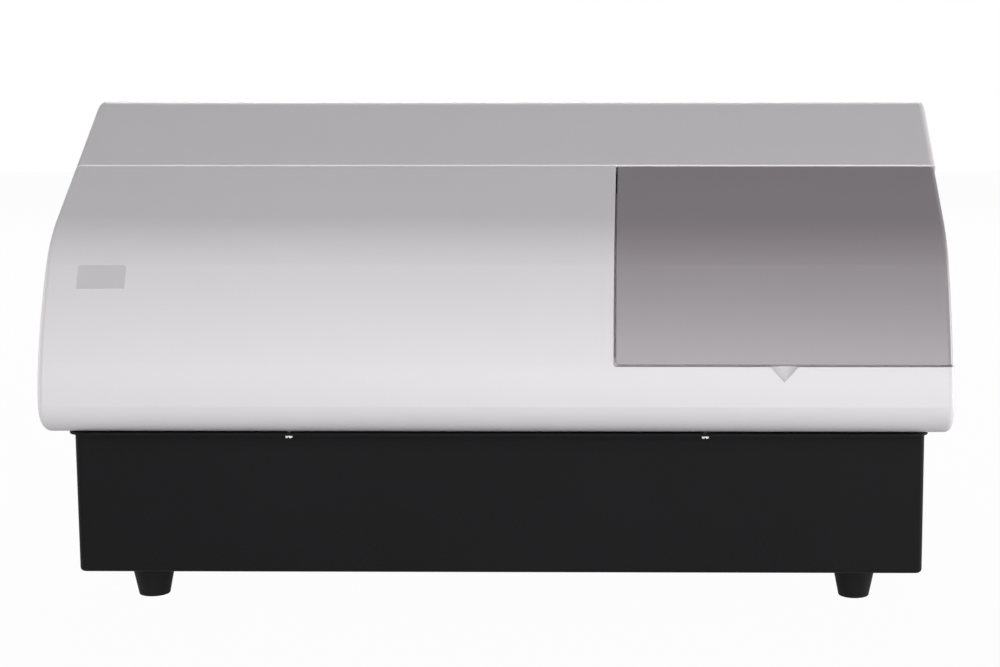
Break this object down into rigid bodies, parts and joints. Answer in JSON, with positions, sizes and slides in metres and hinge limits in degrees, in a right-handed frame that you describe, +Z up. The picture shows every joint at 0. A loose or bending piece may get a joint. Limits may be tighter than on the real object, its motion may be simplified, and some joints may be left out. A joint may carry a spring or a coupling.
{
  "type": "microplate reader",
  "caption": "Bench-top microplate reader with a wedge-fronted housing, a hinged loading lid and a belt-driven plate carriage.",
  "frame": {"origin": "centre of the footprint on the bench, under the middle of the instrument", "axes": "+X to the operator's right, +Y towards the back, +Z up"},
  "size_m": [0.4346, 0.32, 0.2456],
  "materials": {
    "housing_white": "fine satin",
    "lid_grey": "fine satin",
    "tray_black": "matt powder coat",
    "foot_rubber": "matt",
    "steel": "ground",
    "nickel": "bright nickel",
    "alloy": "satin anodised",
    "black_anodised": "black anodised",
    "bronze": "sintered",
    "belt_rubber": "matt",
    "black_plastic": "matt",
    "board_green": "lacquered",
    "clear_glass": "polished",
    "filter_glass": "coated",
    "zinc_steel": "zinc plated sheet"
  },
  "bodies": {
    "housing": {"base_tray": "tray_black", "feet": "foot_rubber", "foot_screws": "nickel", "foot_nuts": "nickel", "front_hood": "housing_white", "rear_cover": "housing_white", "lid_hinge_pins": "steel", "housing_screws": "nickel", "bench_plate": "alloy", "bench_posts": "alloy", "bench_screws": "nickel", "guide_rods": "steel", "rod_blocks": "alloy", "timing_belt": "belt_rubber", "idler_bracket": "alloy", "idler_pin": "steel", "motor_bracket": "alloy", "drive_motor": "black_plastic", "optics_arm": "black_anodised", "light_tubes": "alloy", "light_guide": "black_plastic", "detector_board": "board_green", "detector_block": "black_anodised", "detector_lenses": "clear_glass", "filter_plate": "alloy", "filter_motor": "zinc_steel", "lamp_housing": "zinc_steel", "lamp_holder": "black_plastic", "halogen_lamp": "clear_glass", "condenser_lens": "clear_glass", "main_board": "board_green", "board_standoffs": "nickel", "board_chips": "black_plastic", "power_supply": "zinc_steel", "fan_frame": "black_plastic", "fan_guard": "nickel", "mains_inlet": "black_plastic", "inlet_pins": "nickel", "switch_frame": "black_plastic", "fuse_drawer": "black_plastic", "serial_port": "nickel", "usb_port": "nickel", "tray_rim": "tray_black", "motor_screws": "nickel", "board_connectors": "housing_white"},
    "loading_lid": {"lid": "lid_grey"},
    "carriage": {"plate_carriage": "black_anodised", "carriage_bushes": "bronze", "belt_clamp": "alloy", "plate_spring": "steel"},
    "drive_spindle": {"drive_pulley": "alloy", "drive_shaft": "steel"},
    "idler": {"idler_pulley": "alloy"},
    "filter_disc": {"filter_wheel": "black_anodised", "filters": "filter_glass", "filter_shaft": "steel"},
    "fan": {"fan_rotor": "black_plastic"},
    "rocker": {"power_rocker": "black_plastic"}
  },
  "joints": [
    {"name": "lid_hinge", "type": "hinge", "parent": "housing", "child": "loading_lid", "pos_m": [0.136, -0.08799, 0.20898], "axis": [-1, 0, 0], "range_deg": [0, 65]},
    {"name": "carriage_slide", "type": "slide", "parent": "housing", "child": "carriage", "axis": [-1, 0, 0], "range_m": [0, 0.1859]},
    {"name": "drive_pulley_spin", "type": "hinge", "parent": "housing", "child": "drive_spindle", "pos_m": [-0.14, -0.033, 0.086], "axis": [0, 1, 0], "range_deg": [-1400, 1400]},
    {"name": "idler_spin", "type": "hinge", "parent": "housing", "child": "idler", "pos_m": [0.176, -0.033, 0.086], "axis": [0, 1, 0], "range_deg": [-1400, 1400]},
    {"name": "filter_wheel_spin", "type": "hinge", "parent": "housing", "child": "filter_disc", "pos_m": [-0.127, 0.052, 0.126], "axis": [1, 0, 0], "continuous": true},
    {"name": "fan_spin", "type": "hinge", "parent": "housing", "child": "fan", "pos_m": [0.02, 0.134, 0.05435], "axis": [0, 1, 0], "continuous": true},
    {"name": "power_switch", "type": "hinge", "parent": "housing", "child": "rocker", "pos_m": [0.122, 0.144, 0.056], "axis": [1, 0, 0], "range_deg": [0, 16]}
  ],
  "couplings": [
    {"joint": "drive_pulley_spin", "follows": "carriage_slide", "rad_per_m": -123.69},
    {"joint": "idler_spin", "follows": "carriage_slide", "rad_per_m": -123.69}
  ]
}
